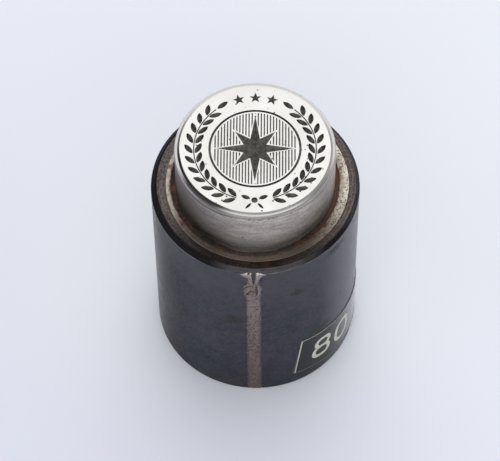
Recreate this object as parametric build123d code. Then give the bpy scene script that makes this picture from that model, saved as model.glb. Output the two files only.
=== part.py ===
from build123d import *

import os
from math import cos, degrees, pi, radians, sin, sqrt, tan

# A round embossing die that stands on its flat foot with the engraved face up.
# A welded tube sleeve holds a stepped steel insert, clamped down from below by one screw.
# Millimetres, +Z up, origin at the middle of the foot, weld seam towards -Y.
# Sizes run from the inside out: the sleeve follows from what it holds.
# The sleeve's bore lies a little off its axis. What fills the bore follows it, the rest is true.

# Clamp screw, with its thread drawn as a plain shank
screw_diameter = 10.0
screw_head_diameter = 16.0
screw_head_height = 10.0
screw_head_recess = 1.8
screw_tip_chamfer = 1.2
socket_across_flats = 8.0
socket_depth = 5.5
thread_engagement = 14.8
thread_spare_depth = 2.5
drill_point_angle = 118.0

# Lock washer
washer_thickness = 2.2
washer_overhang = 1.0
washer_split = 1.2
washer_split_tilt = 20.0

# Base block and backing disc
counterbore_gap = 1.0
block_web = 17.0
disc_thickness = 6.0
edge_break = 0.3

# Locating dowel
dowel_diameter = 6.0
dowel_in_block = 10.0
dowel_in_insert = 8.0
dowel_spare_depth = 1.0
dowel_inset = 7.5

# Die insert
flange_height = 20.1
flange_edge_break = 0.06
shoulder_width = 1.75
relief_groove_width = 1.2
relief_groove_depth = 0.8
neck_diameter = 38.0
neck_height = 14.45
lip_width = 0.75
lip_bevel_width = 0.22
lip_bevel_drop = 0.4
plate_recess_depth = 2.5

# Seal plate
plate_rise = 0.19
plate_bevel_width = 0.47

# Outer sleeve
sleeve_wall = 3.0
bore_offset = 0.5
bore_offset_angle = 75.0
flange_proud = 0.1
rim_bevel_width = 1.0
rim_bevel_drop = 1.1
mouth_edge_break = 0.06
foot_chamfer = 0.4

# Weld seam, a vee filled flush and dressed flat, with a crater and a crack just below the rim
seam_face_width = 3.4
seam_root_width = 1.4
crater_drop = 0.7
crater_width = 2.4
crater_height = 3.9
crater_depth = 0.7
crack_width = 0.6
crack_height = 2.3
crack_depth = 1.6

# Label tape
label_length = 32.0
label_height = 15.0
label_thickness = 0.14
label_start_angle = 24.2
label_start_height = 12.2
label_tilt = 7.0

# Clearances, each on the radius
press_gap = 0.01
glue_gap = 0.02
slide_gap = 0.05
thread_gap = 0.05
loose_gap = 0.15
washer_gap = 0.2
screw_hole_gap = 0.5

# Engraved wreath
wreath_inset = 3.4
wreath_stem_width = 0.28
wreath_foot_gap = 4.3
wreath_head_gap = 6.6
leaf_pitch = 2.8
leaf_length = 3.2
leaf_width = 1.3
leaf_splay = 32.0
leaf_stand_off = 0.3
leaf_depth = 0.6
knot_radius = 0.75
bow_length = 2.3
bow_width = 1.1
bow_tilt = 22.0
tail_length = 2.1
tail_width = 0.65
tail_tilt = 48.0
line_depth = 0.45

# Engraved stars above the wreath
small_star_count = 3
small_star_points = 5
small_star_radius = 1.55
small_star_waist = 0.66
small_star_pitch = 4.0
small_star_depth = 0.6

# Engraved medallion with its rose
medallion_inset = 3.45
medallion_line_width = 0.55
field_margin = 0.35
rose_inset = 0.95
rose_step = 2.5
rose_waist_radius = 3.0
rose_margin = 0.4
rose_depth = 1.1
hatch_pitch = 0.72
hatch_width = 0.32
hatch_depth = 0.25

# Radii that follow from the sizes above
screw_radius = screw_diameter / 2
screw_head_radius = screw_head_diameter / 2
screw_hole_radius = screw_radius + screw_hole_gap
thread_radius = screw_radius + thread_gap
washer_radius = screw_head_radius + washer_overhang
counterbore_radius = washer_radius + counterbore_gap
neck_radius = neck_diameter / 2
groove_radius = neck_radius + relief_groove_width
flange_radius = groove_radius + shoulder_width
bore_radius = flange_radius + slide_gap
sleeve_radius = bore_radius + sleeve_wall
recess_radius = neck_radius - lip_width
plate_radius = recess_radius - glue_gap
plate_face_radius = plate_radius - plate_bevel_width
wreath_radius = plate_face_radius - wreath_inset
medallion_radius = wreath_radius - medallion_inset
dowel_radius = dowel_diameter / 2
dowel_place = Pos(0, bore_radius - dowel_inset, 0)

# Axis of the bore, so far round from the seam towards +X
bore_x = bore_offset * sin(radians(bore_offset_angle))
bore_y = -bore_offset * cos(radians(bore_offset_angle))
bore_place = Pos(bore_x, bore_y, 0)

# Heights that follow from the sizes above
washer_floor = screw_head_recess + screw_head_height
counterbore_depth = washer_floor + washer_thickness
block_height = counterbore_depth + block_web
disc_top = block_height + disc_thickness
screw_tip = disc_top + thread_engagement
thread_end = screw_tip + thread_spare_depth
dowel_foot = block_height - dowel_in_block
dowel_top = disc_top + dowel_in_insert
flange_top = disc_top + flange_height
sleeve_height = flange_top - flange_proud
lip_height = flange_top + neck_height
plate_floor = lip_height - plate_recess_depth
plate_top = lip_height + plate_rise

# Distances from the axis to the seam's root and to its dressed face
seam_root_reach = sqrt(bore_radius**2 - bore_x**2) - bore_y
seam_face_reach = sqrt(sleeve_radius**2 - (seam_face_width / 2) ** 2)


def turned(*corners):
    """Solid of revolution about Z whose half section has these (radius, height) corners."""
    section = Plane.XZ * make_face(Polyline(*corners, close=True))
    return revolve(section, Axis.Z)


def drilled(radius, bottom, top):
    """Cutter of a plain round hole on the die's axis between two heights."""
    standing = (Align.CENTER, Align.CENTER, Align.MIN)
    return Pos(0, 0, bottom) * Cylinder(radius, top - bottom, align=standing)


def dowel_hole(gap, bottom, top):
    """Cutter of the locating dowel's hole between two heights."""
    return dowel_place * drilled(dowel_radius + gap, bottom, top)


def bore_plug(radius, bottom, top, bottom_break, top_break):
    """Cylinder on the bore's own axis between two heights, with both its edges broken."""
    return bore_place * turned(
        (0, bottom),
        (radius - bottom_break, bottom),
        (radius, bottom + bottom_break),
        (radius, top - top_break),
        (radius - top_break, top),
        (0, top),
    )


def sleeve_blank():
    """The sleeve before its seam is opened."""
    bar = turned(
        (0, 0),
        (sleeve_radius - foot_chamfer, 0),
        (sleeve_radius, foot_chamfer),
        (sleeve_radius, sleeve_height - rim_bevel_drop),
        (sleeve_radius - rim_bevel_width, sleeve_height),
        (0, sleeve_height),
    )
    bore = turned(
        (0, 0),
        (bore_radius, 0),
        (bore_radius, sleeve_height - mouth_edge_break),
        (bore_radius + mouth_edge_break, sleeve_height),
        (0, sleeve_height),
    )
    return bar - bore_place * bore


def seam_wedge(outer_reach):
    """Vee of the seam, from inside the bore out to a flat face at outer_reach."""
    flare = (seam_face_width - seam_root_width) / (seam_face_reach - seam_root_reach)
    outer_width = seam_root_width + flare * (outer_reach - seam_root_reach)
    inner_reach = bore_radius - sleeve_wall
    outline = Polyline(
        (-outer_width / 2, -outer_reach),
        (outer_width / 2, -outer_reach),
        (seam_root_width / 2, -seam_root_reach),
        (seam_root_width / 2, -inner_reach),
        (-seam_root_width / 2, -inner_reach),
        (-seam_root_width / 2, -seam_root_reach),
        close=True,
    )
    return extrude(make_face(outline), amount=sleeve_height)


def outer_sleeve():
    """Blackened tube, open along the seam."""
    return sleeve_blank() - seam_wedge(sleeve_radius + sleeve_wall)


def rim_cut(top_width, bottom_width, height, depth):
    """Cutter for the seam's front just below the rim, tapering from the top down."""
    top = sleeve_height - crater_drop
    outline = Polyline(
        (-top_width / 2, top),
        (top_width / 2, top),
        (bottom_width / 2, top - height),
        (-bottom_width / 2, top - height),
        close=True,
    )
    floor = Pos(0, depth - seam_face_reach, 0) * (Plane.XZ * make_face(outline))
    return extrude(floor, amount=sleeve_wall)


def seam_weld():
    """Filler metal of the seam, with the crater and the crack where the weld ran out."""
    filler = sleeve_blank() & seam_wedge(seam_face_reach)
    crater = rim_cut(crater_width, crack_width, crater_height, crater_depth)
    crack = rim_cut(crack_width, crack_width, crack_height, crack_depth)
    return filler - crater - crack


def base_block():
    """Plug that fills the sleeve below the disc and takes the screw head in its foot."""
    block = bore_plug(bore_radius - press_gap, 0, block_height, foot_chamfer, edge_break)
    counterbore = drilled(counterbore_radius, 0, counterbore_depth)
    screw_hole = drilled(screw_hole_radius, counterbore_depth, block_height)
    return block - counterbore - screw_hole - dowel_hole(press_gap, dowel_foot, block_height)


def backing_disc():
    """Hard disc that spreads the load between the insert and the block."""
    disc = bore_plug(bore_radius - loose_gap, block_height, disc_top, edge_break, edge_break)
    screw_hole = drilled(screw_hole_radius, block_height, disc_top)
    return disc - screw_hole - dowel_hole(loose_gap, block_height, disc_top)


def locating_dowel():
    """Hardened pin through the disc, from the block into the insert."""
    pin = turned(
        (0, dowel_foot),
        (dowel_radius - edge_break, dowel_foot),
        (dowel_radius, dowel_foot + edge_break),
        (dowel_radius, dowel_top - edge_break),
        (dowel_radius - edge_break, dowel_top),
        (0, dowel_top),
    )
    return dowel_place * pin


def die_insert():
    """Flange in the sleeve's mouth, relief groove, ground neck and the recess for the plate."""
    groove_floor = flange_top - relief_groove_depth
    drill_point = thread_radius / tan(radians(drill_point_angle / 2))
    flange = bore_plug(flange_radius, disc_top, flange_top, edge_break, flange_edge_break)
    neck = turned(
        (0, groove_floor),
        (neck_radius, groove_floor),
        (neck_radius, lip_height - lip_bevel_drop),
        (neck_radius - lip_bevel_width, lip_height),
        (0, lip_height),
    )
    tapped_hole = turned(
        (0, disc_top),
        (thread_radius, disc_top),
        (thread_radius, thread_end),
        (0, thread_end + drill_point),
    )
    insert = flange - drilled(groove_radius, groove_floor, flange_top) + neck
    insert -= drilled(recess_radius, plate_floor, lip_height)
    return insert - tapped_hole - dowel_hole(slide_gap, disc_top, dowel_top + dowel_spare_depth)


def leaf(length, width):
    """Cutter of one engraved leaf along +X: a pointed oval with a vee floor."""
    upper = ThreePointArc((0, 0), (length / 2, width / 2), (length, 0))
    lower = ThreePointArc((length, 0), (length / 2, -width / 2), (0, 0))
    oval = extrude(make_face([upper, lower]), amount=-leaf_depth)
    vee = make_face(Polyline((-width / 2, 0), (width / 2, 0), (0, -leaf_depth), close=True))
    return oval & extrude(Plane.YZ * vee, amount=length)


def star_outline(tips, waist):
    """Star whose tip radii are given in turn from +Y, with equal waists between them."""
    step = pi / len(tips)
    corners = []
    for number, tip in enumerate(tips):
        angle = pi / 2 + 2 * number * step
        corners.append((tip * cos(angle), tip * sin(angle)))
        corners.append((waist * cos(angle + step), waist * sin(angle + step)))
    return make_face(Polyline(*corners, close=True))


def star_pit(tips, waist, depth):
    """Cutter of a faceted star, deepest at its middle."""
    return loft([star_outline(tips, waist), Vertex(0, 0, -depth)], ruled=True)


def on_wreath(travel, turn=0):
    """Place on the wreath's circle, so far round from the front towards +X."""
    return Rot(0, 0, degrees(travel / wreath_radius)) * Pos(0, -wreath_radius, 0) * Rot(0, 0, turn)


def stem_strip(travel):
    """Face of a branch's stem, from the foot of the wreath for so far round its circle."""
    start = degrees(wreath_foot_gap / wreath_radius) - 90
    sweep = degrees(travel / wreath_radius)
    outer = CenterArc((0, 0), wreath_radius + wreath_stem_width / 2, start, sweep)
    inner = CenterArc((0, 0), wreath_radius - wreath_stem_width / 2, start, sweep)
    return make_face([outer, Line(outer @ 1, inner @ 1), inner, Line(inner @ 0, outer @ 0)])


def wreath_branch():
    """Cutters of the right-hand branch: its stem, pairs of leaves and one leaf at the tip."""
    room = pi * wreath_radius - wreath_foot_gap - wreath_head_gap - leaf_length
    pairs = int(room / leaf_pitch)
    stem_length = pairs * leaf_pitch
    cutters = [extrude(stem_strip(stem_length), amount=-line_depth)]
    one_leaf = leaf(leaf_length, leaf_width)
    for pair in range(pairs):
        place = on_wreath(wreath_foot_gap + pair * leaf_pitch)
        for side in (-1, 1):
            lean = Pos(0, side * leaf_stand_off, 0) * Rot(0, 0, side * leaf_splay)
            cutters.append(place * lean * one_leaf)
    tip = on_wreath(wreath_foot_gap + stem_length) * Pos(leaf_stand_off, 0, 0)
    cutters.append(tip * one_leaf)
    return cutters


def wreath_bow():
    """Cutters of the bow that ties the two branches at the front: knot, loops and tails."""
    hanging = (Align.CENTER, Align.CENTER, Align.MAX)
    cutters = [on_wreath(0) * Cylinder(knot_radius, line_depth, align=hanging)]
    clear = Pos(knot_radius + leaf_stand_off, 0, 0)
    loop = leaf(bow_length, bow_width)
    tail = leaf(tail_length, tail_width)
    for turn in (bow_tilt, 180 - bow_tilt):
        cutters.append(on_wreath(0, turn) * clear * loop)
    for turn in (-tail_tilt, 180 + tail_tilt):
        cutters.append(on_wreath(0, turn) * clear * tail)
    return cutters


def top_stars():
    """Cutters of the small stars between the tips of the branches."""
    one_star = star_pit([small_star_radius] * small_star_points, small_star_waist, small_star_depth)
    top = pi * wreath_radius
    middle = (small_star_count - 1) / 2
    return [
        on_wreath(top + (number - middle) * small_star_pitch, 180) * one_star
        for number in range(small_star_count)
    ]


def medallion():
    """Cutters of the ruled field, its border line and the eight-pointed rose in the middle."""
    border_inside = medallion_radius - medallion_line_width
    field_radius = border_inside - field_margin
    long_tip = border_inside - rose_inset
    short_tip = long_tip - rose_step
    border = Circle(medallion_radius) - Circle(border_inside)
    bare = star_outline(
        [long_tip + 2 * rose_margin, short_tip + 2 * rose_margin] * 4,
        rose_waist_radius + rose_margin,
    )
    lines_each_side = int(field_radius / hatch_pitch)
    rules = Sketch() + [
        Pos(number * hatch_pitch, 0) * Rectangle(hatch_width, 2 * field_radius)
        for number in range(-lines_each_side, lines_each_side + 1)
    ]
    field = (rules & Circle(field_radius)) - bare
    return [
        extrude(border, amount=-line_depth),
        extrude(field, amount=-hatch_depth),
        star_pit([long_tip, short_tip] * 4, rose_waist_radius, rose_depth),
    ]


def seal_plate():
    """Polished plate that stands a little above the lip, with the design cut into its face."""
    plate = turned(
        (0, plate_floor),
        (plate_radius, plate_floor),
        (plate_radius, lip_height),
        (plate_face_radius, plate_top),
        (0, plate_top),
    )
    branch = wreath_branch()
    other_branch = [mirror(cutter, about=Plane.YZ) for cutter in branch]
    design = branch + other_branch + wreath_bow() + top_stars() + medallion()
    return plate - [Pos(0, 0, plate_top) * cutter for cutter in design]


def clamp_screw():
    """Socket-head screw, head down in the block's counterbore."""
    screw = turned(
        (0, screw_head_recess),
        (screw_head_radius - edge_break, screw_head_recess),
        (screw_head_radius, screw_head_recess + edge_break),
        (screw_head_radius, washer_floor),
        (screw_radius, washer_floor),
        (screw_radius, screw_tip - screw_tip_chamfer),
        (screw_radius - screw_tip_chamfer, screw_tip),
        (0, screw_tip),
    )
    hexagon = RegularPolygon(socket_across_flats / 2, 6, major_radius=False)
    return screw - Pos(0, 0, screw_head_recess) * extrude(hexagon, amount=socket_depth)


def lock_washer():
    """Split spring washer, drawn flat as it lies under the tight screw."""
    inner_radius = screw_radius + washer_gap
    washer = turned(
        (inner_radius, washer_floor),
        (washer_radius, washer_floor),
        (washer_radius, counterbore_depth),
        (inner_radius, counterbore_depth),
    )
    split = Box(washer_radius, washer_split, 3 * washer_thickness)
    middle = Pos((inner_radius + washer_radius) / 2, 0, (washer_floor + counterbore_depth) / 2)
    return washer - middle * Rot(washer_split_tilt, 0, 0) * split


def label_tape():
    """Thin tape wrapped on the sleeve, running downhill to the right of the seam."""
    inner_radius = sleeve_radius + glue_gap
    outer_radius = inner_radius + label_thickness
    half_wrap = label_length / 2 / sleeve_radius
    half_chord = sleeve_radius * sin(half_wrap)
    middle_height = label_start_height - half_chord * tan(radians(label_tilt))
    skin = turned(
        (inner_radius, 0),
        (outer_radius, 0),
        (outer_radius, sleeve_height),
        (inner_radius, sleeve_height),
    )
    outline = Rot(0, 0, -label_tilt) * Rectangle(2 * half_chord, label_height)
    window = extrude(Plane.XZ * outline, amount=2 * sleeve_radius)
    place = Rot(0, 0, label_start_angle + degrees(half_wrap)) * Pos(0, 0, middle_height)
    return skin & place * window


NODES = {
    "outer_sleeve": outer_sleeve,
    "seam_weld": seam_weld,
    "base_block": base_block,
    "backing_disc": backing_disc,
    "locating_dowel": locating_dowel,
    "die_insert": die_insert,
    "seal_plate": seal_plate,
    "clamp_screw": clamp_screw,
    "lock_washer": lock_washer,
    "label_tape": label_tape,
}

os.makedirs("parts", exist_ok=True)
for name, make in NODES.items():
    export_step(make(), f"parts/{name}.step")
    print("wrote", name)
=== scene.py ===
# %% [markdown]
# # A round embossing die, dressed around its solid model
# The solid model already has every piece at its real size and place. This lesson loads it, gives each
# piece the finish of worn tool steel, and adds what is too fine for the solids: the rough weld seam and
# the print on the label tape. Blender works in metres here, so sizes are written in millimetres and
# multiplied by MM where they reach a mesh.

import math

import bmesh
import bpy
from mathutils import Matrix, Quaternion, Vector, noise


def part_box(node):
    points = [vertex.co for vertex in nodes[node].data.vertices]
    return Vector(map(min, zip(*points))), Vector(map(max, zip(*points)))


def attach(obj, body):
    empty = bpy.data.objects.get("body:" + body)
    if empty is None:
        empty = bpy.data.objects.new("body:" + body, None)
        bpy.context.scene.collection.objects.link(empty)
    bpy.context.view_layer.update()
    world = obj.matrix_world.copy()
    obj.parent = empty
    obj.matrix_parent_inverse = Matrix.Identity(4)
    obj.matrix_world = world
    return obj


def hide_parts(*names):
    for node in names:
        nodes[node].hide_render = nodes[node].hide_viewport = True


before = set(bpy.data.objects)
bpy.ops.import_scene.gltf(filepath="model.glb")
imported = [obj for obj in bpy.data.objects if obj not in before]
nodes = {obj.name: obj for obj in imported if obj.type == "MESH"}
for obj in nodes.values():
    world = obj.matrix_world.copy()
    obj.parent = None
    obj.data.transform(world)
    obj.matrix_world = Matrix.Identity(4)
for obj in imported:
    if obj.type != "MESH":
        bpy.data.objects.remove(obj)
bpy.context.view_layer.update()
scene = bpy.context.scene
scene.view_settings.view_transform = "Standard"
print("nodes:", sorted(nodes))

# %% [markdown]
# ## Sizes to work from
# A finish that changes at an edge has to know where that edge is. The boxes of the nodes give most of
# those places. The few small steps between them are written down once, here.

# %% Sizes in millimetres
MM = 0.001


def top_of(node):
    """Height of a node's top."""
    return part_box(node)[1].z / MM


def radius_of(node):
    """Radius of a round node, which is half the width of its box."""
    low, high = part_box(node)
    return (high.x - low.x) / 2 / MM


def middle_of(node):
    """Middle of a node's box."""
    low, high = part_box(node)
    return (low + high) / 2 / MM


sleeve_radius = radius_of("outer_sleeve")
sleeve_height = top_of("outer_sleeve")
rim_bevel_width = 1.0
rim_bevel_drop = 1.1
rim_foot = sleeve_height - rim_bevel_drop
land_edge = sleeve_radius - rim_bevel_width
foot_chamfer = 0.4
flange_radius = radius_of("die_insert")
bore_axis = middle_of("die_insert")
flange_top = sleeve_height + 0.1
groove_radius = flange_radius - 1.75
plate_radius = radius_of("seal_plate")
plate_top = top_of("seal_plate")
plate_bevel_width = 0.47
neck_radius = plate_radius + 0.77
lip_height = top_of("die_insert")
lip_bevel_drop = 0.4
lip_bevel_width = 0.22
scored_height = lip_height - 1.25
print(f"radii: sleeve {sleeve_radius:.2f}, flange {flange_radius:.2f}, plate {plate_radius:.2f}")
print(f"heights: sleeve {sleeve_height:.2f}, lip {lip_height:.2f}, plate {plate_top:.2f}")
print(f"bore off by {bore_axis.x:.2f}, {bore_axis.y:.2f}")

# %% [markdown]
# ## A short way to write node trees
# Materials in Blender are trees of nodes. Adding each node and link by hand takes many lines, so this
# small class does the common steps: add a node, set or link its sockets, and hand back its output. It
# keeps the later cells close to how a finisher would describe the surface.

# %% Wires for node trees
class Wires:
    """Adds nodes to one tree. A value given to a socket is either a number, a colour or another socket."""

    def __init__(self, tree):
        self.tree = tree

    def feed(self, socket, value):
        if isinstance(value, bpy.types.NodeSocket):
            self.tree.links.new(value, socket)
        elif socket.type == "RGBA":
            socket.default_value = (*value[:3], 1.0)
        else:
            socket.default_value = value

    def node(self, kind, values=None, **settings):
        made = self.tree.nodes.new(kind)
        for name, setting in settings.items():
            setattr(made, name, setting)
        for name, value in (values or {}).items():
            self.feed(made.inputs[name], value)
        return made

    def math(self, operation, *values):
        made = self.node("ShaderNodeMath", operation=operation)
        for socket, value in zip(made.inputs, values):
            self.feed(socket, value)
        return made.outputs[0]

    def vector(self, operation, *values):
        made = self.node("ShaderNodeVectorMath", operation=operation)
        for socket, value in zip(made.inputs, values):
            self.feed(socket, value)
        return made.outputs["Value" if operation in ("LENGTH", "DOT_PRODUCT") else "Vector"]

    def plus(self, first, second):
        return self.math("ADD", first, second)

    def less(self, first, second):
        return self.math("SUBTRACT", first, second)

    def times(self, first, *others):
        """Product of some values."""
        for other in others:
            first = self.math("MULTIPLY", first, other)
        return first

    def most(self, first, *others):
        """Largest of some values."""
        for other in others:
            first = self.math("MAXIMUM", first, other)
        return first

    def raised(self, value, other, share):
        """A value raised by a share of another one."""
        return self.math("MULTIPLY_ADD", other, share, value)

    def ramp(self, value, start, end, low=0.0, high=1.0):
        """A smooth step from low at start to high at end."""
        values = {"Value": value, "From Min": start, "From Max": end, "To Min": low, "To Max": high}
        return self.node("ShaderNodeMapRange", values, interpolation_type="SMOOTHSTEP").outputs[0]

    def blend(self, mask, first, second):
        """Colour that goes from first to second where the mask is 1."""
        made = self.node("ShaderNodeMix", data_type="RGBA")
        for place, value in zip((0, 6, 7), (mask, first, second)):
            self.feed(made.inputs[place], value)
        return made.outputs[2]

    def coats(self, colour, *layers):
        """Colour with paints laid over it, the lowest first. Each layer is a paint and its masks."""
        for paint, *masks in layers:
            colour = self.blend(self.times(*masks), colour, paint)
        return colour

    def between(self, mask, first, second):
        """Number that goes from first to second where the mask is 1."""
        made = self.node("ShaderNodeMix", data_type="FLOAT")
        for place, value in zip((0, 2, 3), (mask, first, second)):
            self.feed(made.inputs[place], value)
        return made.outputs[0]

    def group(self, name, **values):
        """Places a shared node group and returns its outputs."""
        made = self.node("ShaderNodeGroup", node_tree=bpy.data.node_groups[name])
        for label, value in values.items():
            self.feed(made.inputs[label], value)
        return made.outputs

    def mask(self, name, **values):
        """First output of a shared node group."""
        return self.group(name, **values)[0]

    def attribute(self, name):
        """Value that the points of a mesh carry under a name."""
        return self.node("ShaderNodeAttribute", attribute_name=name).outputs["Fac"]

    def place(self, *names):
        """Where on the die a point lies, by the names of the outputs of that group."""
        outputs = self.group("place_on_die")
        return [outputs[name] for name in names]

    def band(self, value, low, high, blur):
        """Mask of the stretch of a value between two ends."""
        return self.mask("band", Value=value, Low=low, High=high, Blur=blur)

    def bands(self, value, stretches):
        """One mask for each of some named stretches of a value."""
        return [self.band(value, *stretch) for stretch in stretches.values()]

    def bump(self, height, depth):
        """Normal of a surface whose height map stands for a relief of this depth in millimetres."""
        values = {"Strength": 1.0, "Distance": depth * MM, "Height": height}
        return self.node("ShaderNodeBump", values).outputs[0]


def new_group(name, inputs, outputs):
    """Empty node group. Returns its wires, its input sockets and its output sockets."""
    tree = bpy.data.node_groups.new(name, "ShaderNodeTree")
    for label, start in inputs.items():
        socket = tree.interface.new_socket(label, in_out="INPUT", socket_type="NodeSocketFloat")
        socket.default_value = start
    for label, kind in outputs.items():
        tree.interface.new_socket(label, in_out="OUTPUT", socket_type=f"NodeSocket{kind}")
    wires = Wires(tree)
    entry = wires.node("NodeGroupInput")
    leaving = wires.node("NodeGroupOutput")
    return wires, entry.outputs, leaving.inputs


print("wires are ready")

# %% [markdown]
# ## Where on the die a point lies
# The die is turned, so every mark on it follows its axis: lines run round it, rust sits at one height,
# the land ends at one radius. This group turns the object's own coordinates into a radius, a height and
# a turn round the axis, counted in degrees from the seam. Side runs from -1 at the left to 1 at the
# right, for wear and for painted light and shade that are stronger on one side. The coordinates belong
# to the object, so the marks move with it. A second group marks one soft oval on a round surface, for
# stains that are found in one place only. A third marks the sharp corners on both sides of the bore's
# edge, which lies a little off the die's axis. They are painted bright, a painted highlight, strongest
# at the left.

# %% Groups: place on the die, one mark on it and the bore's edge
def make_place_group():
    outputs = {"Radius": "Float", "Height": "Float", "Turn": "Float", "Side": "Float", "Spot": "Vector"}
    wires, _, leaving = new_group("place_on_die", {}, outputs)
    metres = wires.node("ShaderNodeTexCoord").outputs["Object"]
    spot = wires.vector("MULTIPLY", metres, (1 / MM, 1 / MM, 1 / MM))
    split = wires.node("ShaderNodeSeparateXYZ", {"Vector": spot}).outputs
    radius = wires.vector("LENGTH", wires.vector("MULTIPLY", spot, (1.0, 1.0, 0.0)))
    turn = wires.math("ARCTAN2", split["X"], wires.times(split["Y"], -1.0))
    wires.feed(leaving["Radius"], radius)
    wires.feed(leaving["Side"], wires.math("DIVIDE", split["X"], radius))
    wires.feed(leaving["Height"], split["Z"])
    wires.feed(leaving["Turn"], wires.math("DEGREES", turn))
    wires.feed(leaving["Spot"], spot)


def make_mark_group():
    inputs = {"Turn": 0.0, "Wide": 5.0, "Height": 0.0, "Tall": 2.0}
    wires, entry, leaving = new_group("mark", inputs, {"Mask": "Float"})
    turn, height, spot = wires.place("Turn", "Height", "Spot")
    ragged = {"Vector": spot, "Scale": 0.9, "Detail": 4.0}
    shake = wires.node("ShaderNodeTexNoise", ragged).outputs[0]
    sideways = wires.math("DIVIDE", wires.less(turn, entry["Turn"]), entry["Wide"])
    upward = wires.math("DIVIDE", wires.less(height, entry["Height"]), entry["Tall"])
    away = wires.node("ShaderNodeCombineXYZ", {"X": sideways, "Y": upward}).outputs[0]
    reach = wires.less(wires.vector("LENGTH", away), 0.8)
    wires.feed(leaving["Mask"], wires.ramp(wires.raised(reach, shake, 1.6), 0.45, 1.15, 1.0, 0.0))


def make_bore_group():
    wires, _, leaving = new_group("bore_edge", {}, {"Mask": "Float"})
    spot, height, side = wires.place("Spot", "Height", "Side")
    away = wires.vector("SUBTRACT", spot, (bore_axis.x, bore_axis.y, 0.0))
    radius = wires.vector("LENGTH", wires.vector("MULTIPLY", away, (1.0, 1.0, 0.0)))
    depth = wires.math("ABSOLUTE", wires.less(radius, flange_radius + 0.02))
    near = wires.ramp(depth, 0.06, 0.12, 1.0, 0.0)
    high = wires.ramp(height, sleeve_height - 0.4, sleeve_height - 0.1)
    # Painted highlight on the corners of the bore's edge, strongest at the left.
    wires.feed(leaving["Mask"], wires.times(near, high, wires.ramp(side, -0.35, -0.87, 0.15, 0.9)))


make_place_group()
make_mark_group()
make_bore_group()
print("place_on_die:", len(bpy.data.node_groups["place_on_die"].nodes), "nodes")

# %% [markdown]
# ## Shared marks of a worn tool
# Four effects come back on almost every piece. A band picks out a step between two values, such as the
# rim between two heights. Turning lines are the fine grooves that the lathe leaves. Blotches are soft
# patches of oxide, oil and rust. Specks are pits and grains. Each is built once, with its scale in
# millimetres as an input, and each material places it with its own numbers.

# %% Groups: band, turning lines, blotches and specks
def make_band_group():
    inputs = {"Value": 0.0, "Low": 0.0, "High": 1.0, "Blur": 0.05}
    wires, entry, leaving = new_group("band", inputs, {"Mask": "Float"})
    value, low, high, blur = (entry[name] for name in ("Value", "Low", "High", "Blur"))
    rise = wires.ramp(value, wires.less(low, blur), wires.plus(low, blur))
    fall = wires.ramp(value, wires.less(high, blur), wires.plus(high, blur), 1.0, 0.0)
    wires.feed(leaving["Mask"], wires.times(rise, fall))


def make_lines_group():
    inputs = {"Across": 0.0, "Pitch": 0.3, "Drift": 2.0}
    wires, entry, leaving = new_group("turning_lines", inputs, {"Lines": "Float"})
    spot = wires.group("place_on_die")["Spot"]
    round_about = wires.vector("NORMALIZE", wires.vector("MULTIPLY", spot, (1.0, 1.0, 0.0)))
    split = wires.node("ShaderNodeSeparateXYZ", {"Vector": round_about}).outputs
    steps = {
        "X": wires.times(split["X"], entry["Drift"]),
        "Y": wires.times(split["Y"], entry["Drift"]),
        "Z": wires.math("DIVIDE", entry["Across"], entry["Pitch"]),
    }
    vector = wires.node("ShaderNodeCombineXYZ", steps).outputs[0]
    grain = {"Vector": vector, "Scale": 1.0, "Detail": 3.0, "Roughness": 0.65}
    lines = wires.node("ShaderNodeTexNoise", grain).outputs[0]
    wires.feed(leaving["Lines"], wires.ramp(lines, 0.3, 0.7))


def make_blotch_group():
    inputs = {"Size": 5.0, "Level": 0.5, "Softness": 0.1, "Shift": 0.0}
    wires, entry, leaving = new_group("blotches", inputs, {"Mask": "Float"})
    spot = wires.group("place_on_die")["Spot"]
    shift = wires.node("ShaderNodeCombineXYZ", {axis: entry["Shift"] for axis in "XYZ"}).outputs[0]
    scaled = wires.node("ShaderNodeVectorMath", operation="SCALE")
    wires.feed(scaled.inputs["Vector"], spot)
    wires.feed(scaled.inputs["Scale"], wires.math("DIVIDE", 1.0, entry["Size"]))
    moved = wires.vector("ADD", scaled.outputs[0], shift)
    cloud = {"Vector": moved, "Scale": 1.0, "Detail": 5.0, "Roughness": 0.6}
    patch = wires.node("ShaderNodeTexNoise", cloud).outputs[0]
    start = wires.less(entry["Level"], entry["Softness"])
    end = wires.plus(entry["Level"], entry["Softness"])
    wires.feed(leaving["Mask"], wires.ramp(patch, start, end))


def make_speck_group():
    inputs = {"Spacing": 2.0, "Size": 0.2, "Share": 0.5}
    wires, entry, leaving = new_group("specks", inputs, {"Mask": "Float"})
    spot = wires.group("place_on_die")["Spot"]
    cells = {"Vector": spot, "Scale": wires.math("DIVIDE", 1.0, entry["Spacing"])}
    cell = wires.node("ShaderNodeTexVoronoi", cells).outputs
    chance = wires.node("ShaderNodeSeparateColor", {"Color": cell["Color"]}).outputs
    chosen = wires.math("LESS_THAN", chance["Red"], entry["Share"])
    reach = wires.times(entry["Size"], wires.plus(chance["Green"], 0.25))
    dot = wires.ramp(cell["Distance"], wires.times(reach, 0.6), reach, 1.0, 0.0)
    wires.feed(leaving["Mask"], wires.times(chosen, dot))


make_band_group()
make_lines_group()
make_blotch_group()
make_speck_group()
print("groups:", sorted(group.name for group in bpy.data.node_groups))

# %% [markdown]
# ## Dressing a node
# A finish is a Principled shader with its sockets fed by the groups. Two helpers start a finish and put
# it on the nodes that wear it. Numbers that are the same all over a piece go straight on the shader's
# own sockets.

# %% Finish helpers
def new_finish(name):
    """New material. Returns it with its wires and the sockets of its shader."""
    material = bpy.data.materials.new(name)
    material.use_nodes = True
    shader = material.node_tree.nodes["Principled BSDF"]
    return material, Wires(material.node_tree), shader.inputs


def dress(material, *names):
    """Puts a finish on nodes of the frame."""
    for name in names:
        nodes[name].data.materials.clear()
        nodes[name].data.materials.append(material)
    print(material.name, "on", ", ".join(names))


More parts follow.
